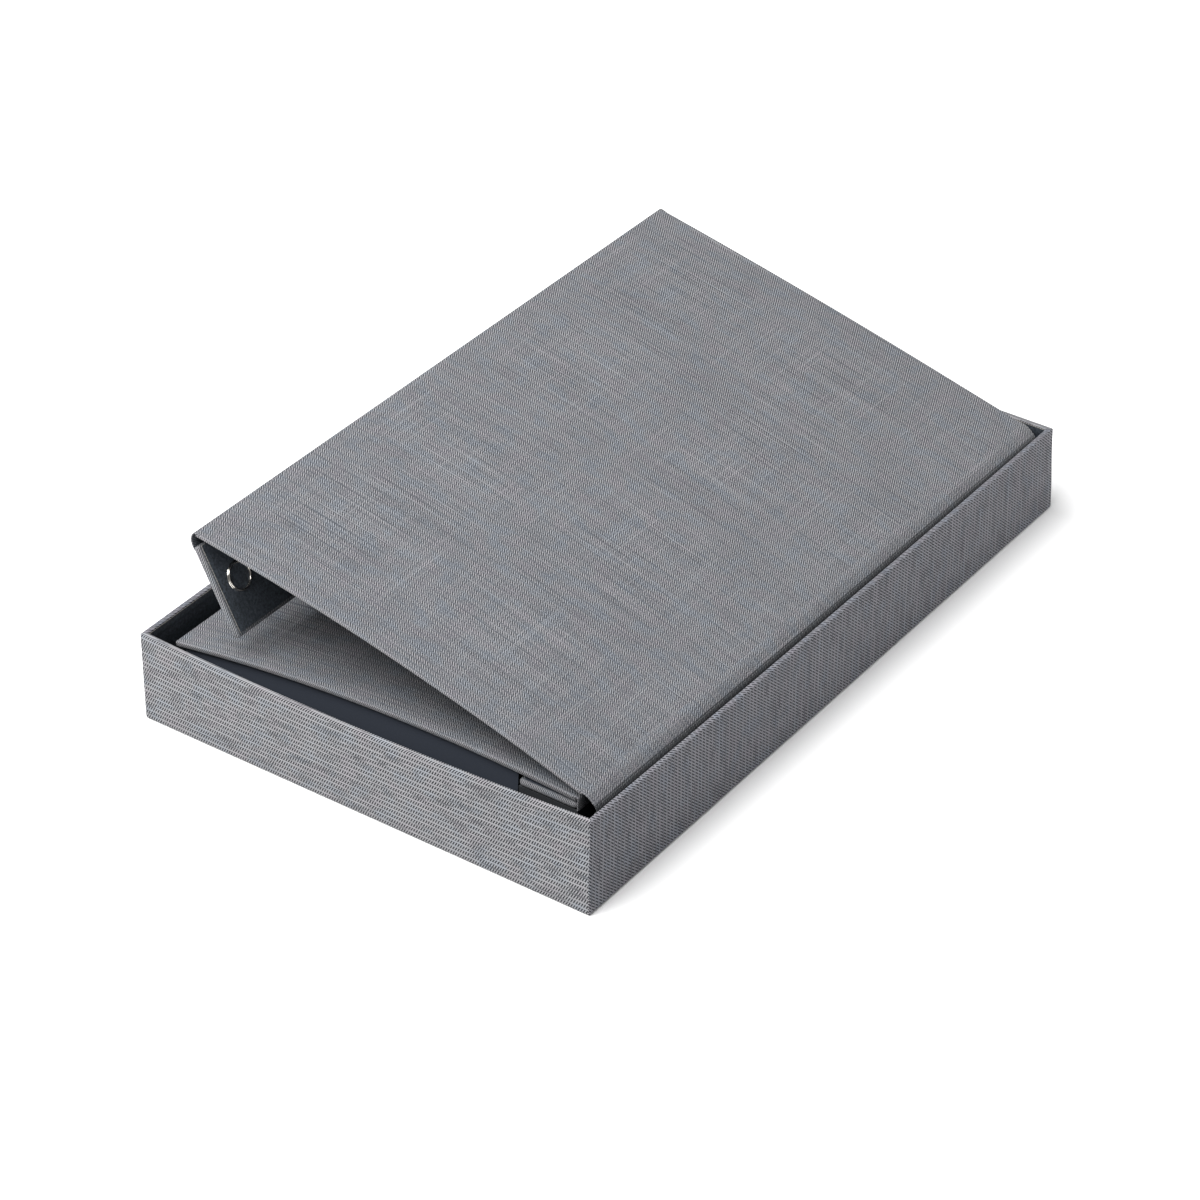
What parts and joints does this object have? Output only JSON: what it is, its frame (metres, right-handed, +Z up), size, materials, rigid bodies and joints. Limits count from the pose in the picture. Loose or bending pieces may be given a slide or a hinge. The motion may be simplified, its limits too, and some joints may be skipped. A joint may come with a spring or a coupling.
{
  "type": "archival box",
  "caption": "Low cloth-covered document box with a hinged lid, a magnetic fore-edge flap and a post-bound inner cover, shown with its lid ajar.",
  "frame": {"origin": "on the surface the tray rests on, under the middle of the tray", "axes": "+Z up, +Y along the long side of the tray, +X across it towards the lid's hinge"},
  "size_m": [0.222, 0.35, 0.0918],
  "materials": {
    "book_cloth": "slubbed plain-weave linen book cloth, blue-grey, matt",
    "grey_board": "grey bookbinding board",
    "black_lining": "smooth near-black lining paper",
    "hinge_lining": "near-black fine hinge cloth",
    "guard_card": "black card",
    "post_metal": "nickel-plated",
    "keeper_steel": "plain steel",
    "button_steel": "polished nickel rim",
    "magnet_nickel": "dark nickel"
  },
  "bodies": {
    "tray": {"tray_underside_paper": "black_lining", "tray_filler_card": "grey_board", "tray_cover_cloth": "book_cloth", "tray_base_board": "grey_board", "tray_wall_hinge": "grey_board", "tray_wall_fore_edge": "grey_board", "tray_wall_head": "grey_board", "tray_wall_tail": "grey_board", "tray_wall_lining": "black_lining", "tray_floor_lining": "black_lining", "back_cover_board": "grey_board", "back_cover_lining": "black_lining", "case_cloth": "book_cloth", "spine_board": "grey_board", "spine_lining": "hinge_lining", "guard_strips": "guard_card", "post_barrels": "post_metal", "post_screws": "post_metal", "binding_strip_board": "grey_board", "binding_strip_lining": "hinge_lining", "binding_strip_cloth": "book_cloth", "inner_cover_hinge_cloth": "book_cloth"},
    "inner_cover": {"inner_cover_board": "grey_board", "inner_cover_lining": "black_lining", "inner_cover_side_papers": "black_lining", "inner_cover_cloth": "book_cloth"},
    "lid_hinge": {"lid_hinge_cloth": "book_cloth", "lid_hinge_lining": "hinge_lining"},
    "lid": {"lid_board": "grey_board", "lid_lining": "black_lining", "lid_cloth": "book_cloth", "lid_keepers": "keeper_steel"},
    "flap_hinge": {"flap_hinge_cloth": "book_cloth", "flap_hinge_lining": "hinge_lining"},
    "flap": {"flap_board": "grey_board", "flap_lining": "black_lining", "flap_cloth": "book_cloth", "flap_magnet_cups": "button_steel", "flap_magnets": "magnet_nickel"}
  },
  "joints": [
    {"name": "lid_close", "type": "hinge", "parent": "tray", "child": "lid_hinge", "pos_m": [0.1072, 0, 0.0385], "axis": [0, 1, 0], "range_deg": [-10, 0]},
    {"name": "lid_open", "type": "hinge", "parent": "lid_hinge", "child": "lid", "pos_m": [0.10045, 0, 0.04546], "axis": [0, 1, 0], "range_deg": [0, 85]},
    {"name": "flap_unfold", "type": "hinge", "parent": "lid", "child": "flap_hinge", "pos_m": [-0.08905, 0, 0.09165], "axis": [0, 1, 0], "range_deg": [0, 85]},
    {"name": "flap_fold", "type": "hinge", "parent": "flap_hinge", "child": "flap", "pos_m": [-0.09, 0, 0.085], "axis": [0, 1, 0], "range_deg": [-44, 0]},
    {"name": "inner_cover_lift", "type": "hinge", "parent": "tray", "child": "inner_cover", "pos_m": [0.09665, 0, 0.04219], "axis": [0, 1, 0], "range_deg": [0, 60]}
  ],
  "couplings": [
    {"joint": "flap_fold", "follows": "lid_close", "ratio": 4.4},
    {"joint": "flap_unfold", "follows": "lid_open", "ratio": 1},
    {"joint": "inner_cover_lift", "follows": "lid_open", "ratio": 0.7}
  ]
}
